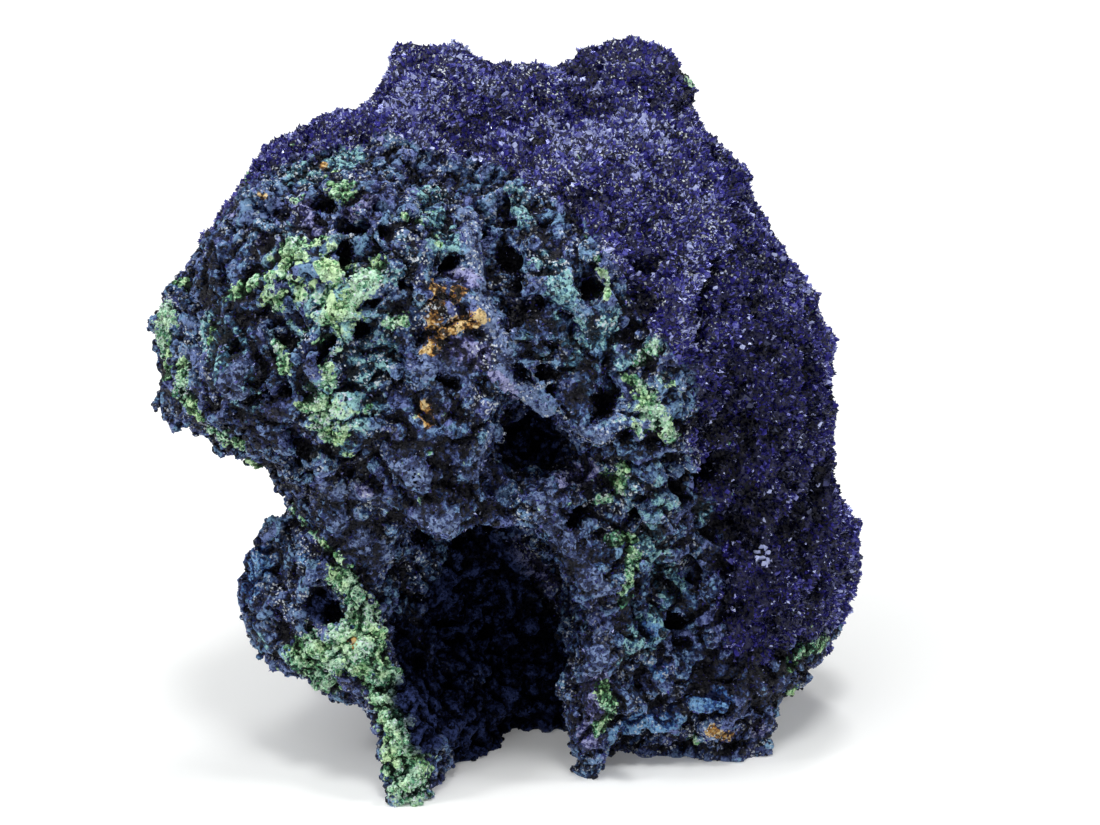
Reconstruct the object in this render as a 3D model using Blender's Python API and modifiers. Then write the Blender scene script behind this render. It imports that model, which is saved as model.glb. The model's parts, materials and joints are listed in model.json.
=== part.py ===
"""Azurite specimen: a fist-sized piece of azurite crust grown over malachite, as one natural solid.

It stands on the broken edges of its own crust: a green leg at the front left, a narrow leg at the front
centre and a broad base at the right and the back. Between them, under the overhanging brow, is a deep hollow.
+X is the specimen's right, +Y its back and +Z up. Lengths in the tables are millimetres, angles degrees.
"""

import math
import random

import bmesh
import bpy
from mathutils import Matrix, Vector

MM = 0.001
NAME = "azurite_specimen"

# Driving dimensions of the solid's surface
CORE_GRID = 1.1  # grid on which the masses are fused
SKIN_GRID = 0.85  # grid on which the knobs are fused to them
KNOB_RISE = 0.2  # how far a knob's centre lies above the surface, as a share of its radius
SWELL_SIZE, SWELL_HEIGHT = 9.0, 1.6  # the broad swells of the crust
RUBBLE_SIZE, RUBBLE_HEIGHT = 3.4, 1.2  # the lumps on those swells
MOST_TRIANGLES = 9400
FLOOR_BLOCK = 120.0  # block that everything below the floor is cut away with
CRUST_COLOUR, CRUST_ROUGHNESS = (0.035, 0.04, 0.16), 0.55

# Masses that the crust is made of: name, centre, radii, roll about Y, turn about Z
MASSES = (
    ("dome", (5.0, 5.0, 43.5), (22.5, 21.0, 20.0), 0, 0),
    ("crest_left", (-7.6, 10.0, 61.8), (6.8, 8.0, 7.5), 0, 0),
    ("crest_saddle", (1.5, 11.0, 59.5), (12.0, 9.0, 7.0), 0, 0),
    ("crest_right", (12.4, 12.5, 61.2), (7.0, 7.0, 7.2), 0, 0),
    ("left_slope", (-15.8, 2.5, 53.4), (14.8, 12.0, 10.0), -32, 0),
    ("right_shoulder", (17.6, 8.0, 51.0), (8.0, 13.0, 12.5), -25, 0),
    ("right_wall", (21.2, 4.0, 36.5), (11.4, 16.0, 20.0), -14, 0),
    ("right_wall_foot", (22.6, 2.0, 15.8), (13.5, 14.0, 15.2), 0, 0),
    ("right_base", (17.4, -0.5, 6.0), (11.3, 12.5, 9.0), 0, 0),
    ("right_toe", (20.0, -6.0, 4.0), (8.3, 5.5, 7.0), 0, 0),
    ("head", (-13.5, -6.0, 45.0), (16.5, 14.5, 15.5), 0, 0),
    ("head_jowl", (-19.5, -7.0, 38.6), (11.5, 11.0, 8.8), 25, 0),
    ("left_rim", (-29.3, -4.0, 40.5), (4.9, 7.0, 8.5), 0, 0),
    ("brow", (-6.0, -12.5, 37.5), (12.5, 9.0, 9.5), 0, 0),
    ("brow_flap", (-8.2, -18.0, 34.0), (4.8, 4.2, 4.2), 0, 0),
    ("brow_lip", (-5.6, -17.5, 29.8), (4.2, 4.0, 3.6), 0, 0),
    ("brow_bridge", (0.5, -16.0, 31.0), (5.5, 4.0, 3.8), 20, 0),
    ("brow_cheek", (-14.5, -13.5, 28.5), (5.5, 5.0, 6.0), 0, 0),
    ("ridge", (0.0, -16.0, 44.5), (2.6, 3.5, 9.5), -30, 0),
    ("ridge_end", (5.6, -16.5, 38.2), (5.4, 3.4, 2.4), 25, 0),
    ("arm", (5.5, -14.5, 27.5), (3.4, 3.6, 9.5), -34, 0),
    ("arm_flap", (8.0, -14.5, 22.0), (4.0, 3.6, 4.6), -20, 0),
    ("cheek", (11.5, -8.0, 40.0), (10.0, 10.0, 10.0), 0, 0),
    ("cheek_foot", (13.5, -9.5, 30.5), (6.5, 7.0, 8.5), 0, 0),
    ("neck", (-14.5, -10.0, 25.0), (6.5, 6.0, 7.0), -25, 0),
    ("left_leg", (-13.0, -16.0, 14.0), (4.2, 4.2, 13.5), -20, 0),
    ("left_foot", (-9.9, -18.5, 4.2), (3.4, 3.3, 6.5), -18, 0),
    ("left_wall_front", (-9.0, -14.0, 9.0), (3.6, 5.5, 11.5), -15, -30),
    ("left_wall_back", (-6.2, -6.5, 9.0), (4.6, 8.0, 12.0), -10, -30),
    ("wing", (-19.0, -8.0, 17.0), (6.5, 6.5, 8.5), 10, 0),
    ("wing_foot", (-16.2, -9.5, 11.4), (4.8, 5.5, 5.2), 0, 0),
    ("centre_leg", (8.8, -12.8, 12.0), (3.8, 4.6, 13.0), 4, 0),
    ("centre_foot", (6.5, -11.5, 2.0), (4.0, 3.8, 3.6), 0, 0),
    ("leg_web", (13.5, -5.0, 14.0), (6.5, 6.5, 14.0), 0, 0),
    ("hollow_back", (1.0, 10.0, 20.0), (20.0, 11.5, 22.0), 0, 0),
    ("hollow_sill", (2.5, 4.0, 2.0), (9.0, 7.5, 6.5), 0, 0),
    ("left_back", (-13.0, 3.5, 20.0), (8.0, 9.5, 17.0), 5, 0),
    ("back_base", (0.0, 13.0, 8.0), (21.0, 10.5, 10.5), 0, 0),
)

# Hollows between them: name, centre, radii, roll about Y, turn about Z
HOLLOWS = (
    ("main_hollow", (-1.6, -13.0, 16.8), (8.8, 12.0, 10.2), -10, -20),
    ("hollow_mouth", (0.8, -15.0, 5.5), (4.6, 11.0, 9.5), -8, -25),
    ("brow_pit", (2.8, -19.5, 36.4), (5.2, 9.0, 4.3), 25, 0),
    ("ridge_crevice", (-0.2, -15.0, 51.5), (1.6, 5.0, 6.0), 6, 0),
    ("cheek_pit", (12.0, -19.5, 41.5), (2.6, 4.0, 2.2), 0, 0),
    ("right_pocket", (18.3, -14.0, 31.5), (2.2, 5.0, 3.4), -10, 0),
    ("right_groove", (22.3, -15.0, 18.0), (1.7, 5.5, 7.0), 0, 0),
    ("wing_cup", (-17.6, -17.5, 19.5), (2.4, 5.5, 3.2), 0, 0),
    ("under_back", (-3.0, 12.5, -2.0), (11.0, 5.5, 4.6), 0, 0),
    ("under_right", (17.5, 2.0, -2.5), (7.0, 8.0, 5.0), 0, 0),
)

# Crowds of knobs: name, centre, reach, knob radius from, to, count
KNOBS = (
    ("head_front", (-18.0, -17.0, 49.0), 13.0, 1.3, 2.3, 90),
    ("head_side", (-28.0, -8.0, 42.0), 12.0, 1.2, 2.0, 60),
    ("head_under", (-20.0, -13.0, 34.0), 8.0, 1.2, 1.9, 24),
    ("cheek", (9.0, -15.0, 45.0), 9.0, 1.3, 2.2, 45),
    ("cheek_rim", (15.0, -15.0, 37.0), 5.5, 1.2, 1.9, 18),
    ("right_base", (17.0, -12.0, 15.0), 11.0, 1.3, 2.1, 45),
    ("right_corner", (24.0, -7.5, 5.0), 6.0, 1.3, 1.9, 8),
    ("wing", (-22.0, -12.0, 17.0), 9.0, 1.1, 1.9, 80),
    ("hollow", (1.0, -2.0, 14.0), 13.0, 1.2, 2.2, 60),
    ("crest", (3.0, 12.0, 64.0), 16.0, 1.0, 1.7, 60),
    ("back", (0.0, 20.0, 30.0), 40.0, 1.0, 1.8, 160),
)


def clear_scene():
    for obj in list(bpy.data.objects):
        bpy.data.objects.remove(obj)


def new_object(name, bm):
    mesh = bpy.data.meshes.new(name)
    bm.to_mesh(mesh)
    bm.free()
    obj = bpy.data.objects.new(name, mesh)
    bpy.context.scene.collection.objects.link(obj)
    return obj


def ellipsoids(name, table):
    """One mesh object holding an ellipsoid for each row of a table."""
    bm = bmesh.new()
    for _, centre, radii, roll, turn in table:
        place = Matrix.Translation(Vector(centre) * MM)
        lean = Matrix.Rotation(math.radians(turn), 4, "Z") @ Matrix.Rotation(math.radians(roll), 4, "Y")
        size = Matrix.Diagonal((*(r * MM for r in radii), 1.0))
        bmesh.ops.create_icosphere(bm, subdivisions=4, radius=1.0, matrix=place @ lean @ size)
    return new_object(name, bm)


def add_remesh(obj, grid):
    remesh = obj.modifiers.new("fuse", "REMESH")
    remesh.mode = "VOXEL"
    remesh.voxel_size = grid * MM


def add_smooth(obj, rounds):
    smooth = obj.modifiers.new("soften", "SMOOTH")
    smooth.factor = 0.5
    smooth.iterations = rounds


def add_boolean(obj, cutter, operation):
    boolean = obj.modifiers.new(operation.lower(), "BOOLEAN")
    boolean.operation = operation
    boolean.object = cutter
    boolean.solver = "EXACT"


def add_lumps(obj, size, height):
    """Raises and sinks the surface by a cloud pattern of a given lump size."""
    clouds = bpy.data.textures.new("lumps", "CLOUDS")
    clouds.noise_scale = size * MM
    clouds.noise_depth = 1
    displace = obj.modifiers.new("lumps", "DISPLACE")
    displace.texture = clouds
    displace.texture_coords = "GLOBAL"
    displace.mid_level = 0.5
    displace.strength = 2.0 * height * MM


def bake(obj):
    """Replaces the object's mesh with what its modifiers make of it."""
    bpy.context.view_layer.update()
    graph = bpy.context.evaluated_depsgraph_get()
    mesh = bpy.data.meshes.new_from_object(obj.evaluated_get(graph))
    obj.modifiers.clear()
    obj.data = mesh


def make_core():
    """The masses fused, the hollows cut out, the surface swelling and lumpy."""
    core = ellipsoids(NAME, MASSES)
    add_remesh(core, CORE_GRID)
    hollows = ellipsoids("hollows", HOLLOWS)
    add_remesh(hollows, CORE_GRID)
    add_boolean(core, hollows, "DIFFERENCE")
    bake(core)
    bpy.data.objects.remove(hollows)
    add_remesh(core, CORE_GRID)
    add_smooth(core, 4)
    add_lumps(core, SWELL_SIZE, SWELL_HEIGHT)
    add_lumps(core, RUBBLE_SIZE, RUBBLE_HEIGHT)
    bake(core)
    return core


def add_knobs(core):
    """Knobs scattered over their areas of the surface, fused with it."""
    chance = random.Random(11)
    spots = [(v.co.copy(), v.normal.copy()) for v in core.data.vertices]
    bm = bmesh.new()
    bm.from_mesh(core.data)
    for _, centre, reach, smallest, largest, count in KNOBS:
        middle = Vector(centre) * MM
        near = [spot for spot in spots if (spot[0] - middle).length < reach * MM]
        for point, outward in chance.sample(near, count):
            radius = chance.uniform(smallest, largest) * MM
            place = Matrix.Translation(point + outward * radius * KNOB_RISE)
            bmesh.ops.create_icosphere(bm, subdivisions=2, radius=radius, matrix=place)
    bm.to_mesh(core.data)
    bm.free()
    add_remesh(core, SKIN_GRID)
    add_smooth(core, 1)
    bake(core)


def keep_largest_body(obj):
    """Drops loose crumbs, so that the specimen is one body."""
    bm = bmesh.new()
    bm.from_mesh(obj.data)
    left = set(bm.verts)
    bodies = []
    while left:
        body = {left.pop()}
        front = list(body)
        while front:
            vertex = front.pop()
            found = {edge.other_vert(vertex) for edge in vertex.link_edges} - body
            body |= found
            front += found
        left -= body
        bodies.append(body)
    bodies.sort(key=len)
    crumbs = [vertex for body in bodies[:-1] for vertex in body]
    bmesh.ops.delete(bm, geom=crumbs, context="VERTS")
    bm.to_mesh(obj.data)
    bm.free()


def simplify(obj):
    """Brings the surface down to flat facets, at most MOST_TRIANGLES of them."""
    faces = sum(len(polygon.vertices) - 2 for polygon in obj.data.polygons)
    decimate = obj.modifiers.new("facets", "DECIMATE")
    decimate.ratio = MOST_TRIANGLES / faces
    bake(obj)


def cut_feet(obj):
    """Cuts everything below the floor away, which leaves the feet flat."""
    bm = bmesh.new()
    below = Matrix.Translation((0.0, 0.0, -0.5 * FLOOR_BLOCK * MM))
    bmesh.ops.create_cube(bm, size=FLOOR_BLOCK * MM, matrix=below)
    block = new_object("floor_block", bm)
    add_boolean(obj, block, "DIFFERENCE")
    bake(obj)
    bpy.data.objects.remove(block)


def centre_on_floor(obj):
    """Puts the middle of the specimen's outline over the origin, with its feet at height zero."""
    corners = [Vector(corner) for corner in obj.bound_box]
    middle = (corners[0] + corners[6]) / 2
    obj.data.transform(Matrix.Translation((-middle.x, -middle.y, -corners[0].z)))


def finish(obj):
    material = bpy.data.materials.new("azurite_crust")
    material.use_nodes = True
    shader = material.node_tree.nodes["Principled BSDF"]
    shader.inputs["Base Color"].default_value = (*CRUST_COLOUR, 1.0)
    shader.inputs["Roughness"].default_value = CRUST_ROUGHNESS
    obj.data.materials.clear()
    obj.data.materials.append(material)
    group = bpy.data.collections.new(NAME)
    bpy.context.scene.collection.children.link(group)
    bpy.context.scene.collection.objects.unlink(obj)
    group.objects.link(obj)


clear_scene()
specimen = make_core()
add_knobs(specimen)
keep_largest_body(specimen)
simplify(specimen)
cut_feet(specimen)
centre_on_floor(specimen)
finish(specimen)
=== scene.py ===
"""Looks of the azurite specimen.

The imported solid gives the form. Here its surface is rebuilt finer, as a crust with lumps, balls and granules
on its broken front, and with small azurite crystals on the dome, the right wall, the left side and the back.
Marks of the photograph are given as pixels of its 1100 x 825 frame, and rays from the camera carry them onto
the crust.
"""

import json
import math
from functools import partial, reduce

import bmesh
import bpy
import numpy as np
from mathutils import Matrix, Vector, noise
from mathutils.bvhtree import BVHTree
from mathutils.kdtree import KDTree

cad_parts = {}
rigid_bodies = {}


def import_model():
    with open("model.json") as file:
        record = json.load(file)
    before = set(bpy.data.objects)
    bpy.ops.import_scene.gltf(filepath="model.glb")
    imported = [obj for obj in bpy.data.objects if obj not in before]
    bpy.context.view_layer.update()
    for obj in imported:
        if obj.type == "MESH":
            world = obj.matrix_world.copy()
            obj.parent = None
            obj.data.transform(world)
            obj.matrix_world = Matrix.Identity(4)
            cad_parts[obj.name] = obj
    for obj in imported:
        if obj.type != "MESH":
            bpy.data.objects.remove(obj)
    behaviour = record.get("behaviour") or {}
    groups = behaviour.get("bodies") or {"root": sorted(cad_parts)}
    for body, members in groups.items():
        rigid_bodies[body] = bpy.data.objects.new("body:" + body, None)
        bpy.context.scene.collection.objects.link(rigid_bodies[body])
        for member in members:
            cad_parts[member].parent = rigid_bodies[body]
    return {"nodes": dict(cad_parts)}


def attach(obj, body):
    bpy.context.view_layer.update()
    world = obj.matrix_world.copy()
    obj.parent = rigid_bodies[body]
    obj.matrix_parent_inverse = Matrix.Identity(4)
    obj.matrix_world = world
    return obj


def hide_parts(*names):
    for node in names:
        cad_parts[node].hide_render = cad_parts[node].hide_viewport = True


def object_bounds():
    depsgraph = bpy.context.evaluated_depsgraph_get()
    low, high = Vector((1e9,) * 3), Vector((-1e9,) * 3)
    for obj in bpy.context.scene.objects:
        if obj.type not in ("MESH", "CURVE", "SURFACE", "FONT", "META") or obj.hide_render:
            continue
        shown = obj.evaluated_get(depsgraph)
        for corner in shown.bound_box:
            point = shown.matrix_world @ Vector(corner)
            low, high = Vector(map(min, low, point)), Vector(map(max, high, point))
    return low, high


MM = 0.001
NODE = "azurite_specimen"
SEED = 7

# The photograph's frame and its camera
PHOTO_WIDTH, PHOTO_HEIGHT = 1100, 825
LENS, SENSOR = 85.0, 36.0
CAMERA_TARGET = Vector((3.66, -2.40, 33.3)) * MM
CAMERA_DISTANCE = 260 * MM
CAMERA_ELEVATION = math.radians(18)
NEAREST_SEEN = 1 * MM
FOCAL_PIXELS = PHOTO_WIDTH * LENS / SENSOR
TOWARDS_CAMERA = Vector((0.0, -math.cos(CAMERA_ELEVATION), math.sin(CAMERA_ELEVATION)))
PHOTO_RIGHT = Vector((1.0, 0.0, 0.0))
PHOTO_UP = Vector((0.0, math.sin(CAMERA_ELEVATION), math.cos(CAMERA_ELEVATION)))
CAMERA_POINT = CAMERA_TARGET + TOWARDS_CAMERA * CAMERA_DISTANCE

# The crust's surface, in millimetres
ROUNDING_GRID, ROUNDING_PASSES = 0.8, 4  # the solid is rebuilt on this grid and smoothed this many times
SKIN_GRID, SKIN_PASSES = 0.42, 1  # and again once its lumps are on
SMOOTHING = 0.5  # how far a round of smoothing moves a point towards its neighbours
SETBACK = 0.45  # the crust lies this far inside the solid, which its crystals' tips then reach
FRONT_SETBACK = 0.6  # and the front this much further, where lumps are put back on
FLOOR_ZONE = 1.5  # the setback fades out this close to the floor, so that the feet still touch it
LEDGE_RISE, LEDGE_SMOOTHNESS = 0.3, 0.75
GAP_DEPTH = 2.4
CREASE_DEPTH, CREASES = 0.6, (1.8, 53.0, 0.22)  # dark creases of the druse: clumps they part, seed, width
CREVICE_DEPTH, CREVICES = 1.1, (2.6, 61.0, 0.17)  # and deeper ones between the front's lumps
RELIEF_SCALES = ((8, 0.6), (50, 2.2))  # rounds of smoothing, and the height over them that is a full step of the painted relief shade
MOST_CRUST_TRIANGLES = 145000

# Layers of noise: how strong each is, its size in millimetres and its seed
FRONT_RAGGEDNESS = ((7.0, 2.2, 3.0), (5.0, 0.9, 5.0))
FRONT_WINDING = ((10.0, 8.0, 67.0),)
FRONT_ROUGHNESS = ((0.25, 1.5, 11.0), (0.2, 0.75, 13.0))
DRUSE_ROUGHNESS = ((0.45, 2.1, 17.0), (0.3, 0.9, 19.0))
MARK_RAGGEDNESS = ((0.42, 1.4, 37.0), (0.28, 0.7, 43.0))
GREEN_PATCHES = ((1.0, 6.0, 23.0), (0.4, 1.5, 29.0))
TONE_CLOUDS = ((0.4, 5.0, 31.0),)
CLUMP_TONES = ((0.14, 1.5, 47.0),)
BAND_TONES, BAND_STRETCH = ((0.2, 7.0, 41.0),), (1.0, 1.0, 1.8)
FLUTES, FLUTE_STRETCH = ((2.0, 2.3, 59.0),), (1.0, 1.0, 0.22)
FLUTE_HEIGHT = 0.5
NOISE_SLANT = 0.7  # how far a seed moves its noise upwards, for each step sideways

# Where things set in or end, in millimetres along an axis
FLUTES_FROM, FLUTES_UP_TO = (14.0, 22.0), (38.0, 48.0)  # the right wall, along X and Z
LEFT_GREEN_X, LEFT_GREEN_Y, LEFT_GREEN_Z = (-16.0, -4.0), (-8.0, 0.0), (30.0, 44.0)
RIM_GREEN_Y, RIM_GREEN_Z = (0.0, 8.0), (3.0, 10.0)
BACK_FROM = (2.0, 8.0)
DRUSE_CUTS = (-10.0, 14.0)  # where the druse is parted along X into pieces

# Weights between which an effect sets in, and shares
PATCH_ONSET, RIM_GREEN = (0.1, 0.5), 0.8
SETBACK_LEDGE_ONSET = (0.1, 0.5)
LEDGE_ONSET = (0.1, 0.7)
GAP_ONSET, GAP_SHADE_ONSET = (0.25, 0.85), (0.3, 0.8)
TONE_ONSET, TONE_CHANGE = (0.0, 0.9), 0.5
HOLLOW_SHADE_ONSET = (0.1, 0.5)
LEDGE_EDGE, MALACHITE_EDGE = 0.4, 0.45
MINERAL_EDGE, MINERAL_SPREAD = 0.48, 0.12  # above this, give or take, a grain or ball is of that mineral

# Lumps and balls: radii in millimetres, gaps and depths as shares of them, detail in rounds of subdivision
LOBE_SUNK, LOBE_DETAIL = 0.35, 3
KNOB_RADII, KNOB_GAP, KNOB_SUNK, KNOB_DETAIL = (0.75, 1.55), 0.85, 0.05, 2
BALL_LUMPS, BALL_FLATNESS, BALL_GAP = 0.09, 0.85, 0.9
BALL_PAINTED_SHADE, BALL_PAINTED_TOP_LIGHT = 0.45, 0.22  # the shade at a ball's middle, and how much painted light lifts its top and painted shade darkens its foot
BLUE_BALLS = ((0.2, 0.6), 1, 2500)  # radii, detail, most
GREEN_BALLS, GREEN_BALL_CHANCE = ((0.2, 0.5), 1, 900), 0.7

# Granules and crystals: sizes in millimetres, densities in pieces per square millimetre
GRAIN_SIZES, WEDGE_SIZES, SLIVER_SIZES, GLINT_SIZES = (0.22, 0.55), (0.35, 0.72), (0.22, 0.5), (0.14, 0.34)
GRAIN_DENSITY, GREEN_GRAIN_DENSITY, WEDGE_DENSITY, SLIVER_DENSITY, GLINT_DENSITY = 4.2, 10.5, 1.6, 15.0, 3.0
MOST_GRAINS, MOST_WEDGES, MOST_SLIVERS = 13500, 20000, 48000
BACK_DENSITY = 0.48  # share of the crystals that the back carries
CRYSTAL_SUNK = 0.15  # millimetres that its foot is in the crust
GRAIN_SHADES, GRAIN_LEAN, CRYSTAL_LEAN = 0.14, 1.0, 0.35
GRAIN_REACH = (0.4, 0.65)  # from here on, shares of a piece's length, width or height
WEDGE_WIDTHS, WEDGE_HEIGHTS, WEDGE_CORNERS = (0.4, 0.75), (0.45, 0.9), (0.8, 1.1)
RIDGE_REACH, RIDGE_SHIFT, RIDGE_HEIGHTS = (0.2, 0.8), (-0.6, 0.6), (0.8, 1.0)
SLIVER_REACH, SLIVER_HEIGHTS, SLIVER_TIP = (0.4, 0.65), (0.5, 0.95), 0.3
SLIVER_CORNERS, SLIVER_TURN = (0.0, 2.1, 4.2), (-0.4, 0.4)  # angles in radians

# Tones of the crystals, from 0, dark, to 1, pale
DRUSE_TONE, DRUSE_SPREAD = 0.4, 0.15
GLINT_TONE, GLINT_SPREAD = 0.55, 0.3
# how far the area's marked tone, with its painted light and shade, the painted shade of low places and the
# painted shade of gaps change a crystal's tone
AREA_CONTRAST, RELIEF_PAINTED_SHADE, GAP_PAINTED_SHADE = 0.52, 0.4, 0.5
PALE_GLINT_SHARE, PALE_GLINT_AREA = 0.035, -0.15  # share of the crystals that are pale, partly as painted glints and partly as pale dust, in areas lighter than this
PALE_SIZES, PALE_GLOSS = (0.6, 1.0), 0.2

# The broken front, where no druse grows: its outline in pixels, and where it ends
FRONT_OUTLINE = (
    (60, 330), (120, 230), (215, 205), (262, 172), (330, 150), (400, 142), (470, 158), (530, 185), (575, 215),
    (612, 262), (640, 318), (665, 345), (690, 372), (697, 410), (690, 445), (700, 490), (722, 520),
    (718, 600), (722, 650), (760, 668), (800, 640), (850, 625), (880, 700), (820, 800), (560, 820),
    (380, 830), (200, 760), (60, 600),
)
FRONT_DEPTH = -0.5  # millimetres along Y
FRONT_DEPTH_PER_PIXEL = 0.15  # millimetres that its end moves for each pixel that its outline does

# Colours of each mineral along the crust's shade, linear: the dark end is painted shade in its hollows, the
# pale end painted light on its peaks
BLUE_STOPS = (
    (0.28, (0.001, 0.001, 0.005)), (0.5, (0.003, 0.008, 0.036)), (0.68, (0.015, 0.044, 0.14)),
    (0.82, (0.05, 0.12, 0.28)), (0.98, (0.20, 0.38, 0.58)),
)
SLATE_STOPS = (
    (0.3, (0.001, 0.001, 0.007)), (0.52, (0.005, 0.007, 0.040)), (0.7, (0.018, 0.027, 0.125)),
    (0.84, (0.048, 0.062, 0.22)), (1.0, (0.15, 0.19, 0.46)),
)
TEAL_STOPS = (
    (0.28, (0.001, 0.004, 0.009)), (0.47, (0.005, 0.024, 0.055)), (0.65, (0.022, 0.085, 0.17)),
    (0.78, (0.07, 0.20, 0.31)), (0.94, (0.32, 0.62, 0.64)),
)
LEDGE_STOPS = (
    (0.26, (0.002, 0.003, 0.010)), (0.5, (0.009, 0.014, 0.052)), (0.68, (0.032, 0.052, 0.16)),
    (0.82, (0.085, 0.125, 0.29)), (0.97, (0.20, 0.28, 0.50)),
)
# Painted shade of the cave: its hollow coloured nearly black
HOLLOW_SHADE_STOPS = ((0.3, (0.0006, 0.001, 0.005)), (0.6, (0.006, 0.009, 0.034)), (0.95, (0.03, 0.045, 0.14)))
# Under the druse: azurite's own dark blue, made near black as painted shade in the gaps between the crystals
DRUSE_STOPS = ((0.3, (0.002, 0.002, 0.010)), (0.8, (0.015, 0.015, 0.06)))
VIOLET_STOPS = (
    (0.3, (0.003, 0.002, 0.016)), (0.5, (0.018, 0.017, 0.09)), (0.7, (0.07, 0.075, 0.25)),
    (0.92, (0.34, 0.35, 0.62)),
)
BRIGHT_STOPS = (
    (0.25, (0.002, 0.007, 0.05)), (0.48, (0.008, 0.045, 0.20)), (0.66, (0.035, 0.13, 0.40)),
    (0.9, (0.2, 0.42, 0.72)),
)
GREEN_STOPS = (
    (0.2, (0.008, 0.024, 0.010)), (0.4, (0.045, 0.13, 0.05)), (0.57, (0.20, 0.50, 0.19)),
    (0.85, (0.70, 0.97, 0.56)),
)
SEA_STOPS = (
    (0.2, (0.004, 0.024, 0.016)), (0.4, (0.03, 0.13, 0.08)), (0.57, (0.14, 0.48, 0.27)),
    (0.85, (0.64, 0.95, 0.72)),
)
RUST_STOPS = (
    (0.3, (0.006, 0.004, 0.003)), (0.48, (0.06, 0.026, 0.010)), (0.62, (0.28, 0.125, 0.03)),
    (0.8, (0.60, 0.33, 0.08)), (0.97, (0.80, 0.60, 0.30)),
)
# The crystals' colours by tone; the palest is also used for the painted glints
CRYSTAL_STOPS = (
    (0.05, (0.001, 0.001, 0.006)), (0.25, (0.005, 0.005, 0.032)), (0.45, (0.015, 0.012, 0.11)),
    (0.62, (0.038, 0.032, 0.26)), (0.8, (0.09, 0.09, 0.37)), (0.98, (0.50, 0.55, 0.84)),
)
AZURITE_IOR, CRUST_IOR = 1.73, 1.5
WHITE = (1.0, 1.0, 1.0, 1.0)

# The crust's textures: sizes in millimetres, noises with their detail
FINE_NOISE, RAGGED_NOISE, BROAD_NOISE = (0.28, 3.0), (0.8, 4.0), (2.6, 3.0)
LUMP_SIZE, GRIT_SIZE, FACET_SIZE, SPECK_SIZE = 1.7, 0.36, 0.26, 0.2
FACET_TILT = 0.95  # how far the glittering faces of its fine grain lean
FINE_SHADE, TONE_SHADE, LUMP_SHADE = 0.9, 0.5, 0.2  # how far each changes the crust's shade
GRIT_SHADE, GRIT_MIDDLE = 0.62, 0.56
EDGE_RAGGEDNESS, EDGE_SPAN = 1.1, (0.42, 0.54)
PATINA_SHARE, PATINA_BROAD, PATINA_LUMPS, PATINA_SPAN = 0.5, 0.9, 0.5, (0.3, 0.55)
MINT_SHARE, MINT_LUMPS, SEA_SPAN = 0.55, 0.6, (0.35, 0.65)
PAINTED_GLINT_EDGE = 0.86  # share of the cells without a painted glint
# Painted glints: pale specks in the colour that stand in for sparkle, on the higher and lighter places
PAINTED_GLINT_COLOUR, PAINTED_GLINT_STRENGTH = (0.80, 0.86, 0.92, 1.0), 0.85
PAINTED_GLINT_HEIGHTS, PAINTED_GLINT_PATCHES, PAINTED_GLINT_TONES = (0.25, 0.5), (0.42, 0.58), (0.25, 0.6)
CRUST_ROUGHNESS = (0.45, 0.3)  # how much it varies, and the least
CRUST_SHEEN = (-0.3, 0.35)  # how much the hollow's painted shade lowers it, and what it is elsewhere
CRUST_BUMP, CRUST_BUMP_HEIGHT, SPECK_BUMP = 0.8, 0.25, 0.5

# The crystals' textures
CRYSTAL_NOISE, CRYSTAL_SHADE = 0.25, 0.2
CRYSTAL_ROUGHNESS = (0.2, 0.07)
CRYSTAL_GLOSS = (0.52, 0.57, 1.0, 1.0)
CRYSTAL_BUMP, CRYSTAL_BUMP_HEIGHT, CRYSTAL_BUMP_NOISE = 0.3, 0.06, 0.12

# Studio lights: name, direction from which it comes, its width in degrees, its strength
LIGHTS = (
    ("top_light", (-0.3, -0.25, 1.0), 56, 1.1),
    ("front_light", (-0.6, -1.0, 0.7), 46, 0.3),
    ("glint_left", (-0.9, -0.3, 0.9), 12, 0.9),
    ("glint_front", (0.05, -0.32, 1.0), 12, 1.0),
    ("glint_right", (0.8, -0.25, 1.0), 12, 0.8),
    ("glint_top", (0.1, 0.35, 1.0), 12, 0.7),
)
AMBIENT, AMBIENT_COLOUR = 0.08, (0.92, 0.96, 1.0, 1.0)
FLOOR_SIZE, FLOOR_CLOUDS = 1500, 60.0
FLOOR_STOPS = ((0.3, (0.88, 0.89, 0.88)), (0.7, (0.91, 0.92, 0.91)))
FLOOR_GLOW, FLOOR_ROUGHNESS = 0.12, 0.6

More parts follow.
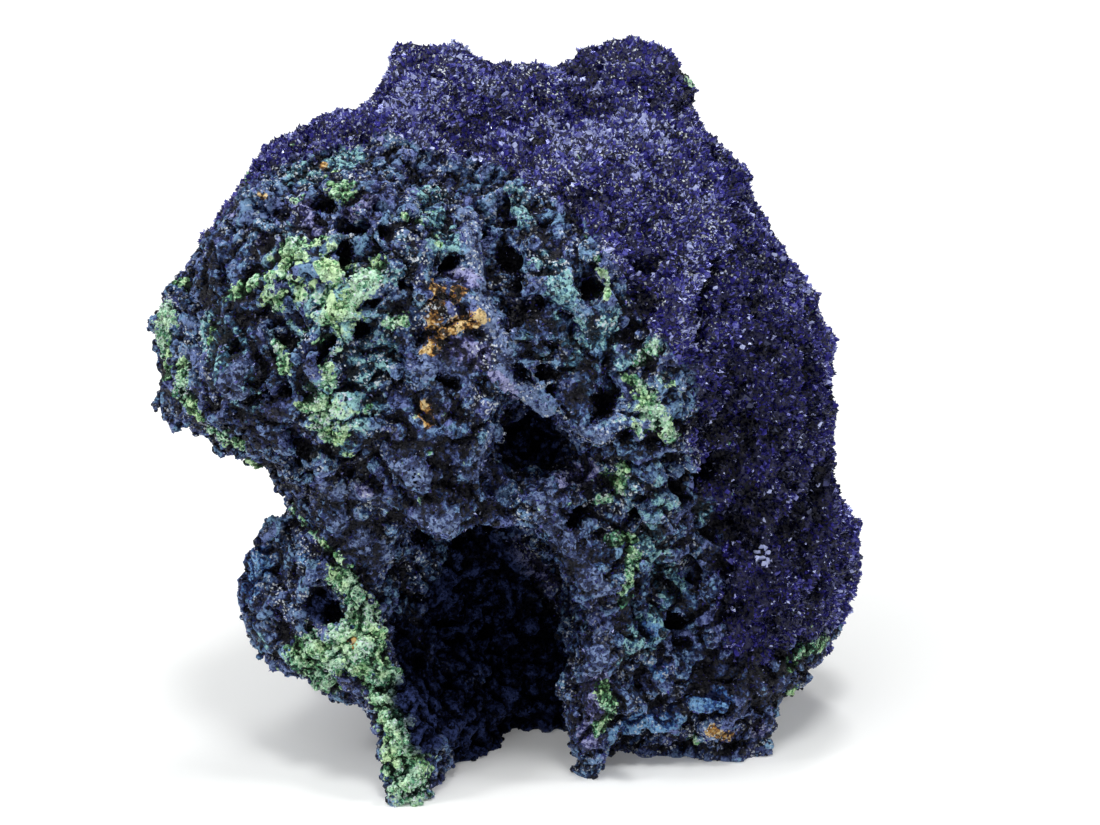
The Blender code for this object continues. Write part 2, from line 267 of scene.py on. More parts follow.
# Marks on the crust: a radius in pixels, then the pixels that a stroke of that radius runs through
STROKE_STEP = 0.6  # how far apart the circles of a stroke are, as a share of its radius
MALACHITE_MARKS = (
    (13, (340, 190)), (7, (333, 176)), (12, (297, 247), (286, 257)), (8, (320, 240)),
    (6, (283, 272), (268, 276)), (14, (330, 266), (344, 276)), (13, (363, 277), (380, 268)),
    (14, (357, 297), (347, 312)), (9, (333, 318)), (15, (275, 297)), (7, (232, 294), (256, 279)),
    (4, (214, 322), (212, 340)), (4, (405, 217), (391, 212)), (5, (418, 222)), (4, (440, 246), (432, 236)),
    (7, (388, 323), (402, 320)), (9, (278, 345), (284, 366)), (10, (306, 405), (322, 402)),
    (11, (318, 425), (340, 438)), (7, (327, 368), (330, 382)), (4, (337, 350)), (5, (297, 200)),
    (8, (183, 283)), (12, (164, 312), (163, 340), (170, 372)), (9, (184, 366), (182, 392), (196, 414)),
    (9, (215, 432), (240, 445)), (10, (255, 465), (270, 480), (282, 498)), (5, (350, 455)),
    (4, (313, 345), (322, 340)), (4, (597, 258), (608, 285), (606, 298)),
    (10, (645, 395), (655, 415), (672, 436)), (7, (640, 360), (655, 347)), (6, (628, 378), (640, 385)),
    (8, (622, 468), (620, 490)), (5, (598, 500), (610, 497)), (6, (610, 540), (632, 538)),
    (7, (634, 555), (630, 575), (622, 600)), (3, (292, 508), (318, 538), (342, 563)),
    (15, (342, 580), (356, 600)), (20, (362, 615), (374, 645), (382, 680)), (18, (345, 640), (355, 665)),
    (22, (308, 655), (330, 650), (322, 680)), (22, (385, 700), (395, 735), (402, 765)),
    (20, (405, 760), (412, 790)), (9, (603, 690), (610, 712), (600, 728)), (7, (694, 738)), (9, (790, 724)),
    (8, (796, 690), (785, 702)), (8, (800, 652), (825, 642)), (9, (787, 664)), (6, (683, 74), (692, 84)),
    (9, (757, 192)), (4, (300, 125), (320, 108)), (5, (248, 175)),
)
LIMONITE_MARKS = (
    (8, (437, 288), (436, 310), (433, 332)), (9, (446, 331), (462, 323), (478, 317)),
    (8, (440, 342), (427, 349)), (7, (452, 300), (460, 290)), (7, (425, 405), (428, 422)), (5, (352, 642)),
    (3, (583, 106)), (2, (548, 103)), (3, (318, 563)), (7, (712, 732), (728, 738)), (5, (262, 195)),
    (6, (322, 166)), (4, (365, 600)),
)
BRIGHT_MARKS = (
    (13, (632, 728), (668, 720)), (12, (690, 705), (720, 700)), (9, (615, 735)), (6, (305, 560)),
    (10, (660, 670)), (13, (258, 560), (252, 590)), (10, (292, 655)), (11, (650, 630)), (16, (780, 705)),
    (8, (262, 520)),
)
VIOLET_MARKS = (
    (10, (303, 208), (313, 232)), (8, (236, 212)), (10, (448, 272), (472, 278)),
    (13, (452, 345), (478, 355)), (9, (365, 490)), (12, (590, 470), (565, 482)), (9, (722, 385)),
    (6, (495, 375), (515, 395)), (8, (265, 240)), (12, (600, 680), (590, 740)), (9, (760, 730)),
    (8, (350, 215), (372, 200)), (10, (515, 550), (550, 580)),
)
TEAL_MARKS = (
    (20, (430, 205), (440, 240)), (22, (215, 330), (240, 400)), (16, (350, 160), (300, 175)),
    (14, (515, 200), (525, 215)), (16, (545, 265), (565, 290)), (14, (590, 335)),
    (12, (340, 290), (320, 315)), (14, (390, 345), (350, 395)), (13, (330, 400), (340, 445)),
    (16, (650, 540), (670, 590)), (16, (630, 650), (660, 620)), (12, (700, 510)), (8, (262, 640)),
)
LEDGE_MARKS = (
    (13, (468, 215), (480, 270), (490, 320), (505, 365), (530, 400), (560, 430), (598, 440)),
    (12, (540, 480), (548, 520), (575, 560), (600, 590)), (16, (430, 365), (465, 350), (455, 380)),
    (15, (345, 520), (370, 545), (385, 560)), (14, (420, 480), (400, 460)), (13, (450, 525), (425, 515)),
    (9, (500, 545), (530, 570)), (13, (600, 640), (590, 700)), (12, (240, 365), (225, 390), (250, 400)),
    (10, (380, 500), (330, 490)), (13, (490, 440), (475, 470)),
)
GAP_MARKS = (
    (8, (255, 203), (268, 210)), (6, (217, 262), (222, 282)), (7, (380, 203), (398, 210)),
    (6, (345, 222), (362, 228)), (6, (385, 232)), (6, (346, 248), (347, 272)), (7, (392, 290), (362, 308)),
    (6, (278, 335), (290, 342)), (7, (360, 336)), (8, (392, 355), (398, 372)), (5, (275, 375), (285, 380)),
    (8, (484, 205), (490, 235)), (9, (508, 255), (516, 290), (512, 325)), (7, (535, 302), (555, 305)),
    (10, (584, 280), (592, 284)), (7, (566, 318), (574, 332)), (9, (606, 360), (612, 390), (600, 412)),
    (7, (520, 372), (530, 384)), (7, (290, 436), (302, 446)), (9, (490, 478), (505, 495)),
    (9, (640, 262), (650, 264)), (8, (722, 560), (728, 590), (722, 630)), (9, (672, 462), (684, 500)),
    (7, (692, 370), (694, 395)), (10, (322, 600), (330, 615)), (7, (300, 478), (290, 462)),
    (5, (190, 300), (194, 340), (190, 380)), (6, (640, 430), (628, 440)), (7, (575, 520), (590, 510)),
    (5, (245, 402), (262, 398)), (5, (285, 394)), (7, (640, 610), (650, 640)), (6, (440, 380), (455, 386)),
    (7, (452, 262), (440, 275)), (6, (313, 200), (330, 205)), (8, (676, 620), (684, 660)),
    (7, (545, 372), (556, 392)), (6, (420, 335), (416, 352)), (7, (500, 200), (506, 222)),
    (5, (372, 245), (384, 250)), (6, (330, 345), (325, 360)),
    (5, (716, 268), (708, 300), (702, 335), (700, 362)), (6, (640, 500), (632, 520)),
    (7, (690, 560), (694, 590)), (6, (235, 345)), (6, (410, 270), (404, 285)),
)
PATINA_MARKS = ((70, (320, 300)), (50, (590, 350)), (32, (650, 500)), (35, (350, 420)))
MINT_MARKS = ((45, (320, 285)), (26, (330, 415)), (24, (655, 412)), (12, (600, 290)), (10, (615, 480)))
# The cave's hollow, coloured dark as painted shade
HOLLOW_SHADE_MARKS = (
    (45, (450, 620), (500, 640), (470, 580)), (34, (440, 700), (490, 730), (535, 690)), (30, (535, 440)),
    (24, (545, 640), (555, 700)), (16, (325, 605)), (20, (425, 730), (400, 640)),
)
# Areas lighter and darker than the rest: partly the mineral's own tone, partly painted light and painted
# shade, as under the brow and on the right wall
LIGHTER_AND_LIT_MARKS = (
    (80, (420, 110), (590, 130)), (40, (690, 200)), (20, (690, 275), (690, 330)), (55, (320, 290)),
    (40, (340, 420)), (22, (474, 225), (490, 330), (515, 375), (540, 405)), (26, (180, 350)),
    (22, (660, 415)), (20, (600, 270), (560, 220)), (26, (410, 200)), (18, (395, 740)), (26, (345, 650)),
    (70, (480, 110)), (30, (250, 200)), (24, (230, 560)),
)
DARKER_AND_SHADED_MARKS = (
    (80, (790, 430), (790, 560)), (60, (790, 640)), (50, (800, 590)),
    (34, (410, 515), (410, 470), (470, 500)), (20, (590, 405)), (24, (590, 660), (590, 730)),
    (22, (340, 520), (370, 560)), (22, (300, 440)), (22, (215, 385)), (28, (225, 290), (235, 335)),
    (24, (300, 380), (250, 430)), (13, (450, 292), (466, 290)), (30, (730, 680)), (24, (640, 600)),
    (26, (530, 330)), (20, (545, 490), (560, 550), (590, 600)), (26, (430, 500)), (40, (820, 600)),
    (20, (250, 570)), (26, (760, 690)), (22, (690, 600)),
)
# Lumps that stand out from the crust: a radius in pixels, then the middle of each lump of that size
LOBES = (
    (28, (228, 370), (420, 470), (447, 518)),
    (22, (225, 272), (245, 236), (432, 375), (238, 318)),
    (18, (215, 415), (375, 465), (425, 440), (360, 540), (580, 540), (415, 508), (765, 718), (332, 520)),
    (
        16, (275, 300), (325, 270), (290, 205), (262, 185), (315, 375), (420, 220), (455, 357), (340, 490),
        (470, 520), (560, 500), (600, 572), (590, 660), (598, 700), (585, 738), (350, 400), (640, 660),
    ),
    (
        14, (250, 425), (342, 290), (372, 350), (400, 250), (440, 250), (455, 215), (376, 420), (480, 380),
        (505, 525), (385, 552), (520, 210), (562, 276), (660, 415), (590, 385), (640, 460), (590, 480),
        (652, 540), (760, 690), (745, 735), (660, 725), (680, 660), (720, 670), (742, 652), (222, 230),
    ),
    (
        12, (345, 187), (366, 278), (165, 320), (170, 350), (178, 380), (310, 410), (330, 425), (345, 450),
        (365, 490), (470, 348), (540, 290), (546, 336), (560, 352), (586, 330), (640, 392), (620, 420),
        (600, 440), (560, 420), (655, 482), (600, 610), (620, 640), (670, 572), (640, 600), (670, 610),
        (655, 640), (690, 600), (700, 520), (665, 520), (786, 690), (786, 722), (725, 725), (700, 736),
        (630, 730), (785, 663), (815, 640),
    ),
    (
        10, (182, 283), (192, 345), (190, 400), (355, 298), (395, 320), (520, 232), (540, 256), (566, 296),
        (572, 366), (602, 346), (616, 370), (275, 540), (262, 560), (290, 560), (270, 585), (305, 560),
        (270, 610), (290, 615), (262, 635), (280, 640), (275, 660), (776, 738), (796, 702), (830, 650),
        (640, 362),
    ),
    (
        8, (300, 240), (322, 242), (332, 178), (382, 272), (328, 320), (285, 350), (292, 366), (322, 398),
        (550, 240), (575, 240), (672, 436), (250, 585), (290, 590), (320, 545), (252, 610), (290, 676),
        (300, 692), (245, 570), (312, 704), (326, 714), (404, 222), (392, 206), (596, 258), (608, 286),
    ),
)
PALE_CRYSTALS = ((763, 547), (757, 552), (768, 553), (762, 558), (768, 561), (764, 565), (757, 560))

# The crust's weights: those that their marks alone give, those that a grain either has or hasn't, and the
# attributes that carry them to the material
PLAIN_MARKS = {
    "limonite": LIMONITE_MARKS,
    "bright": BRIGHT_MARKS,
    "violet": VIOLET_MARKS,
    "teal": TEAL_MARKS,
    "ledge": LEDGE_MARKS,
    "patina": PATINA_MARKS,
    "mint": MINT_MARKS,
}
MINERALS = ("malachite", "limonite", "bright", "teal", "violet")
CHANNELS = {
    "mineral": ("malachite", "limonite", "bright"),
    "skin": ("teal", "ledge", "druse"),
    "weathering": ("patina", "violet", "mint"),
    "relief": ("height", "tone", "hollow"),
}


def clear_scene():
    for obj in list(bpy.data.objects):
        bpy.data.objects.remove(obj)


def add_object(name, data):
    made = bpy.data.objects.new(name, data)
    bpy.context.scene.collection.objects.link(made)
    return made


def bake(piece):
    """Replaces the piece's mesh with what its modifiers make of it."""
    bpy.context.view_layer.update()
    graph = bpy.context.evaluated_depsgraph_get()
    mesh = bpy.data.meshes.new_from_object(piece.evaluated_get(graph))
    piece.modifiers.clear()
    piece.data = mesh


def remesh(piece, grid, passes):
    """Rebuilds the piece as one skin on a grid of the given size, and smooths it."""
    skin = piece.modifiers.new("skin", "REMESH")
    skin.mode = "VOXEL"
    skin.voxel_size = grid * MM
    soften = piece.modifiers.new("soften", "SMOOTH")
    soften.factor = SMOOTHING
    soften.iterations = passes
    bake(piece)


def vertex_rows(mesh, name):
    flat = np.empty(3 * len(mesh.vertices), np.float32)
    mesh.vertices.foreach_get(name, flat)
    return flat.reshape(-1, 3).astype(float)


def places(mesh):
    """The mesh's vertices as rows of millimetres."""
    return vertex_rows(mesh, "co") / MM


def surface(mesh):
    """The mesh's points, in millimetres, and the way that each faces."""
    return places(mesh), vertex_rows(mesh, "normal")


def set_places(mesh, points):
    mesh.vertices.foreach_set("co", (points * MM).astype(np.float32).ravel())
    mesh.update()


def grain(points, size, seed):
    """Smooth noise from -1 to 1 at each point, with lumps of the given size in millimetres."""
    shift = Vector((seed, -seed, NOISE_SLANT * seed))
    return np.array([noise.noise(Vector(point) + shift) for point in points / size])


def layered(points, layers):
    """The sum of several layers of noise at each point."""
    return sum(strength * grain(points, size, seed) for strength, size, seed in layers)


def ease(values, low, high):
    """Goes smoothly from 0 at low to 1 at high."""
    share = np.clip((values - low) / (high - low), 0.0, 1.0)
    return share * share * (3.0 - 2.0 * share)


def fall(values, low, high):
    """Goes smoothly from 1 at low to 0 at high."""
    return ease(-values, -high, -low)


def unit(vectors):
    return vectors / np.linalg.norm(vectors, axis=-1, keepdims=True)


def random_sizes(limits, count, dice):
    """Sizes between two limits, more of them small than large."""
    low, high = limits
    return low + (high - low) * dice.random(count) ** 2


# The photograph's marks, carried onto the crust


def to_pixels(points):
    """Where the camera sees points, given in millimetres, in the photograph's pixels."""
    away = points * MM - np.array(CAMERA_POINT)
    depth = -away @ np.array(TOWARDS_CAMERA)
    across = away @ np.array(PHOTO_RIGHT) / depth * FOCAL_PIXELS
    up = away @ np.array(PHOTO_UP) / depth * FOCAL_PIXELS
    return np.column_stack((PHOTO_WIDTH / 2 + across, PHOTO_HEIGHT / 2 - up))


def from_pixel(tree, u, v):
    """The point of the crust, in metres, that the photograph shows at a pixel, and the way it faces."""
    ray = PHOTO_RIGHT * (u - PHOTO_WIDTH / 2) - PHOTO_UP * (v - PHOTO_HEIGHT / 2)
    ray = (ray / FOCAL_PIXELS - TOWARDS_CAMERA).normalized()
    return tree.ray_cast(CAMERA_POINT, ray)[:2]


def photo_length(pixels, spot):
    """How many millimetres a length in pixels is at a point of the crust."""
    return pixels * (spot - CAMERA_POINT).dot(-TOWARDS_CAMERA) / FOCAL_PIXELS / MM


def inside(outline, pixels):
    """Whether each pixel lies inside a closed outline, by counting the sides to its right."""
    within = np.zeros(len(pixels), bool)
    u, v = pixels[:, 0], pixels[:, 1]
    for (u1, v1), (u2, v2) in zip(outline, outline[1:] + outline[:1]):
        if v1 == v2:
            continue
        crosses = (v1 > v) != (v2 > v)
        within ^= crosses & (u < u1 + (v - v1) / (v2 - v1) * (u2 - u1))
    return within


def mark_weights(points, tree, marks):
    """How strongly each point bears marks: 1 at a stroke's middle, 0.5 at its edge, 0 at twice that."""
    finder = KDTree(len(points))
    for index, point in enumerate(points):
        finder.insert(point, index)
    finder.balance()
    weights = np.zeros(len(points))
    for radius, *pixels in marks:
        for u, v in stroke_pixels(pixels, radius):
            spot, _ = from_pixel(tree, u, v)
            if spot is None:
                continue
            reach = 2 * photo_length(radius, spot)
            for _, index, away in finder.find_range(spot / MM, reach):
                weights[index] = max(weights[index], 1 - away / reach)
    return weights


def stroke_pixels(pixels, radius):
    """Pixels along a stroke, close enough for their circles to overlap."""
    if len(pixels) == 1:
        return [pixels[0]]
    found = []
    for (u1, v1), (u2, v2) in zip(pixels, pixels[1:]):
        steps = max(1, round(math.hypot(u2 - u1, v2 - v1) / (STROKE_STEP * radius)))
        found += [(u1 + (u2 - u1) * i / steps, v1 + (v2 - v1) * i / steps) for i in range(steps + 1)]
    return found


def tree_of(mesh):
    """A ray-casting tree of a mesh, in metres."""
    bm = bmesh.new()
    bm.from_mesh(mesh)
    tree = BVHTree.FromBMesh(bm)
    bm.free()
    return tree


def front_share(points):
    """1 on the broken front, 0 on the druse, with a ragged edge between them."""
    ragged = layered(points, FRONT_RAGGEDNESS)
    pixels = to_pixels(points) + ragged[:, None]
    end = FRONT_DEPTH + FRONT_DEPTH_PER_PIXEL * ragged + layered(points, FRONT_WINDING)
    return (inside(FRONT_OUTLINE, pixels) & (points[:, 1] < end)).astype(float)


# Small shapes, many to a mesh


def scatter(points, chances, radii, gap, dice):
    """Picks points in random order, as their chances allow, that stay gap times their radii apart."""
    cell = 2 * gap * max(radii)
    taken = {}
    kept = []
    for index in dice.permutation(len(points)):
        if dice.random() > chances[index]:
            continue
        point, radius = points[index], radii[index]
        key = tuple((point // cell).astype(int))
        near = [
            other
            for dx in (-1, 0, 1)
            for dy in (-1, 0, 1)
            for dz in (-1, 0, 1)
            for other in taken.get((key[0] + dx, key[1] + dy, key[2] + dz), ())
        ]
        if any(np.sum((points[o] - point) ** 2) < (gap * (radius + radii[o])) ** 2 for o in near):
            continue
        taken.setdefault(key, []).append(index)
        kept.append(index)
    return np.array(kept)


def spots_on(mesh, density, most, dice):
    """Random points on a mesh, as many per square millimetre as the density at its vertices says."""
    mesh.calc_loop_triangles()
    corners = np.empty(3 * len(mesh.loop_triangles), np.int32)
    mesh.loop_triangles.foreach_get("vertices", corners)
    corners = corners.reshape(-1, 3)
    points, normals = surface(mesh)
    a, b, c = points[corners[:, 0]], points[corners[:, 1]], points[corners[:, 2]]
    expected = 0.5 * np.linalg.norm(np.cross(b - a, c - a), axis=1) * density[corners].mean(axis=1)
    expected *= min(1.0, most / expected.sum())
    chosen = np.repeat(np.arange(len(corners)), dice.poisson(expected))
    share = dice.dirichlet((1.0, 1.0, 1.0), len(chosen))
    picked = corners[chosen]
    where = np.einsum("nk,nkj->nj", share, points[picked])
    facing = unit(np.einsum("nk,nkj->nj", share, normals[picked]))
    return where, facing, picked[:, 0]


def frames_on(normals, dice, lean=0.0):
    """A right-handed frame per normal, turned at random about it and leaning off it by up to about lean."""
    up = unit(normals + lean * dice.normal(size=normals.shape))
    side = unit(np.cross(up, dice.normal(size=normals.shape)))
    return np.stack((side, np.cross(up, side), up), axis=1)


def joined(name, shapes, faces, centres, frames):
    """One mesh of many small closed shapes: shapes is (count, corners, 3) in millimetres."""
    count, corners = shapes.shape[:2]
    points = np.einsum("nck,nkj->ncj", shapes, frames) + centres[:, None]
    first = np.arange(count)[:, None, None] * corners
    sides = (first + np.array(faces)[None]).reshape(-1, 3)
    mesh = bpy.data.meshes.new(name)
    mesh.vertices.add(count * corners)
    mesh.loops.add(sides.size)
    mesh.polygons.add(len(sides))
    mesh.vertices.foreach_set("co", (points * MM).astype(np.float32).ravel())
    mesh.loops.foreach_set("vertex_index", sides.astype(np.int32).ravel())
    mesh.polygons.foreach_set("loop_start", np.arange(0, sides.size, 3, dtype=np.int32))
    mesh.update(calc_edges=True)
    return mesh


def ball_template(detail):
    """Corners and triangles of a unit icosphere."""
    bm = bmesh.new()
    bmesh.ops.create_icosphere(bm, subdivisions=detail, radius=1.0)
    corners = np.array([vertex.co[:] for vertex in bm.verts])
    faces = [[vertex.index for vertex in face.verts] for face in bm.faces]
    bm.free()
    return corners, faces


def balls(name, centres, normals, radii, detail, dice):
    """Lumpy balls that sit on the crust, each a little flattened on it."""
    corners, faces = ball_template(detail)
    lumps = 1.0 + BALL_LUMPS * dice.normal(size=(len(centres), len(corners)))
    shapes = corners[None] * (radii[:, None] * lumps)[..., None]
    shapes[..., 2] *= BALL_FLATNESS
    return joined(name, shapes, faces, centres, frames_on(normals, dice))


GRAIN_CORNERS = ((0, 1), (0, -1), (1, 1), (1, -1), (2, 1), (2, -1))
GRAIN_FACES = ((0, 2, 4), (2, 1, 4), (1, 3, 4), (3, 0, 4), (2, 0, 5), (1, 2, 5), (3, 1, 5), (0, 3, 5))


def grains(name, centres, normals, sizes, dice):
    """Eight-sided granules, each a little off regular."""
    count = len(centres)
    shapes = np.zeros((count, 6, 3))
    for corner, (axis, side) in enumerate(GRAIN_CORNERS):
        shapes[:, corner, axis] = side * sizes * dice.uniform(*GRAIN_REACH, count)
    return joined(name, shapes, GRAIN_FACES, centres, frames_on(normals, dice, GRAIN_LEAN))


WEDGE_FACES = ((0, 2, 1), (0, 3, 2), (0, 1, 5), (0, 5, 4), (2, 3, 4), (2, 4, 5), (1, 2, 5), (3, 0, 4))


def wedges(name, centres, normals, sizes, dice):
    """Wedge-shaped azurite crystals: a foot sunk in the crust, and a ridge that ends in two slanted faces."""
    count = len(centres)
    half_length, half_width = 0.5 * sizes, 0.5 * sizes * dice.uniform(*WEDGE_WIDTHS, count)
    height = sizes * dice.uniform(*WEDGE_HEIGHTS, count)
    shapes = np.zeros((count, 6, 3))
    for corner, (x, y) in enumerate(((-1, -1), (1, -1), (1, 1), (-1, 1))):
        shapes[:, corner, 0] = x * half_length * dice.uniform(*WEDGE_CORNERS, count)
        shapes[:, corner, 1] = y * half_width * dice.uniform(*WEDGE_CORNERS, count)
        shapes[:, corner, 2] = -CRYSTAL_SUNK
    for corner, x in ((4, -1), (5, 1)):
        shapes[:, corner, 0] = x * half_length * dice.uniform(*RIDGE_REACH, count)
        shapes[:, corner, 1] = half_width * dice.uniform(*RIDGE_SHIFT, count)
        shapes[:, corner, 2] = height * dice.uniform(*RIDGE_HEIGHTS, count)
    return joined(name, shapes, WEDGE_FACES, centres, frames_on(normals, dice, CRYSTAL_LEAN))


SLIVER_FACES = ((0, 2, 1), (0, 1, 3), (1, 2, 3), (2, 0, 3))


def slivers(name, centres, normals, sizes, dice):
    """Smaller three-sided crystals for the gaps between the wedges."""
    count = len(centres)
    shapes = np.zeros((count, 4, 3))
    for corner, angle in enumerate(SLIVER_CORNERS):
        turned = angle + dice.uniform(*SLIVER_TURN, count)
        reach = sizes * dice.uniform(*SLIVER_REACH, count)
        shapes[:, corner, 0] = reach * np.cos(turned)
        shapes[:, corner, 1] = reach * np.sin(turned)
        shapes[:, corner, 2] = -CRYSTAL_SUNK
    shapes[:, 3, :2] = SLIVER_TIP * sizes[:, None] * dice.uniform(-1.0, 1.0, (count, 2))
    shapes[:, 3, 2] = sizes * dice.uniform(*SLIVER_HEIGHTS, count)
    return joined(name, shapes, SLIVER_FACES, centres, frames_on(normals, dice, CRYSTAL_LEAN))


# The crust


def smoothed(mesh, points, passes):
    """The points after averaging each with its neighbours, a few times over."""
    ends = np.empty(2 * len(mesh.edges), np.int32)
    mesh.edges.foreach_get("vertices", ends)
    a, b = ends[0::2], ends[1::2]
    count = np.bincount(ends, minlength=len(points))[:, None]
    for _ in range(passes):
        around = np.column_stack([
            np.bincount(a, column[b], len(points)) + np.bincount(b, column[a], len(points))
            for column in points.T
        ])
        points = (1 - SMOOTHING) * points + SMOOTHING * around / count
    return points


def fuse(piece, extra):
    """Adds another mesh's closed shapes to the piece's own mesh."""
    bm = bmesh.new()
    bm.from_mesh(piece.data)
    bm.from_mesh(extra)
    bm.to_mesh(piece.data)
    bm.free()


def lobe_places(tree):
    """Where the lumps of the table sit on the crust, how they face and their radii, in millimetres."""
    found = []
    for radius, *pixels in LOBES:
        for u, v in pixels:
            spot, facing = from_pixel(tree, u, v)
            if spot is not None:
                found.append((spot / MM, facing, photo_length(radius, spot)))
    return [np.array(column) for column in zip(*found)]


def set_back(crust):
    """Sinks the surface inside the solid: a little for crystals, more where lumps are put back on."""
    points, normals = surface(crust.data)
    ledges = ease(mark_weights(points, tree_of(crust.data), LEDGE_MARKS), *SETBACK_LEDGE_ONSET)
    depth = SETBACK + FRONT_SETBACK * front_share(points) * (1 - ledges)
    depth *= ease(points[:, 2], 0.0, FLOOR_ZONE)
    set_places(crust.data, points - normals * depth[:, None])


def add_lumps(crust, dice):
    """Fuses the front's lumps with the crust: those of the table, then knobs scattered between them."""
    points, normals = surface(crust.data)
    tree = tree_of(crust.data)
    spots, facing, sizes = lobe_places(tree)
    centres = spots - facing * (LOBE_SUNK * sizes)[:, None]
    fuse(crust, balls("lobes", centres, facing, sizes, LOBE_DETAIL, dice))

    ledges = mark_weights(points, tree, LEDGE_MARKS)
    nearest = np.min(np.linalg.norm(points[:, None] - spots[None], axis=2) / sizes, axis=1)
    radii = random_sizes(KNOB_RADII, len(points), dice)
    chances = front_share(points) * (ledges < LEDGE_EDGE) * (nearest > 1.0)
    kept = scatter(points, chances, radii, KNOB_GAP, dice)
    centres = points[kept] - normals[kept] * (KNOB_SUNK * radii[kept])[:, None]
    fuse(crust, balls("knobs", centres, normals[kept], radii[kept], KNOB_DETAIL, dice))
    remesh(crust, SKIN_GRID, SKIN_PASSES)


def creases(points, size, seed, width):
    """1 along a net of winding lines that part clumps of the given size, 0 away from them."""
    return 1 - np.clip(np.abs(grain(points, size, seed)) / width, 0.0, 1.0)


def flutes(points):
    """Upright columns and grooves on the right wall, from -1 to 1."""
    wall = ease(points[:, 0], *FLUTES_FROM) * fall(points[:, 2], *FLUTES_UP_TO)
    return wall * np.clip(layered(points * FLUTE_STRETCH, FLUTES), -1.0, 1.0)


def roughen(crust):
    """Sinks the gaps, raises the ledges and gives the whole surface its rubble."""
    points, normals = surface(crust.data)
    marked = partial(mark_weights, points, tree_of(crust.data))
    front = front_share(points)
    ragged = layered(points, MARK_RAGGEDNESS)
    gaps = ease(marked(GAP_MARKS) + ragged, *GAP_ONSET)
    ledges = ease(marked(LEDGE_MARKS) + ragged, *LEDGE_ONSET)
    on_front = layered(points, FRONT_ROUGHNESS) - CREVICE_DEPTH * creases(points, *CREVICES)
    on_druse = layered(points, DRUSE_ROUGHNESS)
    on_druse += FLUTE_HEIGHT * flutes(points) - CREASE_DEPTH * creases(points, *CREASES)
    lift = LEDGE_RISE * ledges - GAP_DEPTH * gaps
    lift += front * on_front * (1 - LEDGE_SMOOTHNESS * ledges)
    lift += (1 - front) * on_druse
    lift *= ease(points[:, 2], 0.0, FLOOR_ZONE)
    set_places(crust.data, points + normals * lift[:, None])


def thin_druse(crust):
    """Brings the crust under the druse, where crystals hide it, down to fewer faces."""
    group = crust.vertex_groups.new(name="druse")
    group.add(np.flatnonzero(front_share(places(crust.data)) == 0).tolist(), 1.0, "REPLACE")
    faces = sum(len(polygon.vertices) - 2 for polygon in crust.data.polygons)
    thin = crust.modifiers.new("thin", "DECIMATE")
    thin.vertex_group = group.name
    thin.ratio = min(1.0, MOST_CRUST_TRIANGLES / faces)
    bake(crust)
    crust.vertex_groups.clear()


def make_crust(source, dice):
    """The solid's form, rounded and set back, with lumps, gaps and ledges on its broken front."""
    crust = add_object("crust", source.data.copy())
    crust.data.materials.clear()
    remesh(crust, ROUNDING_GRID, ROUNDING_PASSES)
    set_back(crust)
    add_lumps(crust, dice)
    roughen(crust)
    thin_druse(crust)
    crust.data.shade_smooth()
    return crust


def hidden_green(points):
    """Malachite where the photograph doesn't reach: patches low on the left and on the back's foot."""
    x, y, z = points.T
    left = fall(x, *LEFT_GREEN_X) * ease(y, *LEFT_GREEN_Y) * fall(z, *LEFT_GREEN_Z)
    rim = ease(y, *RIM_GREEN_Y) * fall(z, *RIM_GREEN_Z)
    return ease(layered(points, GREEN_PATCHES), *PATCH_ONSET) * np.maximum(left, RIM_GREEN * rim)


def weigh_crust(crust):
    """What each vertex of the crust is made of, and the painted shade and light that it gets, as weights from
    0 to 1.
    """
    mesh = crust.data
    points, normals = surface(mesh)
    marked = partial(mark_weights, points, tree_of(mesh))
    weights = {name: marked(marks) for name, marks in PLAIN_MARKS.items()}
    # The height over the smoothed surface, which the materials paint as shade: darker in hollows, lighter on
    # peaks
    height = np.full(len(points), 0.5)
    for passes, full_height in RELIEF_SCALES:
        height += np.sum((points - smoothed(mesh, points, passes)) * normals, axis=1) / full_height
    lighter, darker = (TONE_CHANGE * ease(marked(marks), *TONE_ONSET) for marks in (LIGHTER_AND_LIT_MARKS, DARKER_AND_SHADED_MARKS))
    weights["malachite"] = np.maximum(marked(MALACHITE_MARKS), hidden_green(points))
    weights["druse"] = 1.0 - front_share(points)
    weights["height"] = np.clip(height, 0.0, 1.0)
    # painted shade in the marked gaps, which darkens the druse crystals there
    weights["gap"] = ease(marked(GAP_MARKS), *GAP_SHADE_ONSET)
    # Random clouds of tone, plus the marked areas: their own tone with painted light and shade
    weights["tone"] = np.clip(0.5 + layered(points, TONE_CLOUDS) + lighter - darker, 0.0, 1.0)
    # painted shade in the cave's hollow
    weights["hollow"] = ease(marked(HOLLOW_SHADE_MARKS), *HOLLOW_SHADE_ONSET)
    dress(mesh, weights)
    return weights


def set_colours(mesh, name, *channels):
    """Stores up to four weights per vertex as one colour attribute."""
    values = np.zeros((len(mesh.vertices), 4), np.float32)
    for index, channel in enumerate(channels):
        values[:, index] = channel
    stored = mesh.attributes.new(name, "FLOAT_COLOR", "POINT")
    stored.data.foreach_set("color", values.ravel())


def dress(mesh, weights):
    """Stores the weights that the crust's material reads."""
    for name, keys in CHANNELS.items():
        set_colours(mesh, name, *(weights[key] for key in keys))


# What grows on the crust


def one_mineral(weights, chosen, corners, dice):
    """The weights at each chosen point, repeated for a shape's corners, with each mineral there or not."""
    own = {key: np.repeat(values[chosen], corners) for key, values in weights.items()}
    threshold = np.repeat(MINERAL_EDGE + MINERAL_SPREAD * dice.normal(size=len(chosen)), corners)
    for key in MINERALS:
        own[key] = (own[key] > threshold).astype(float)
    return own


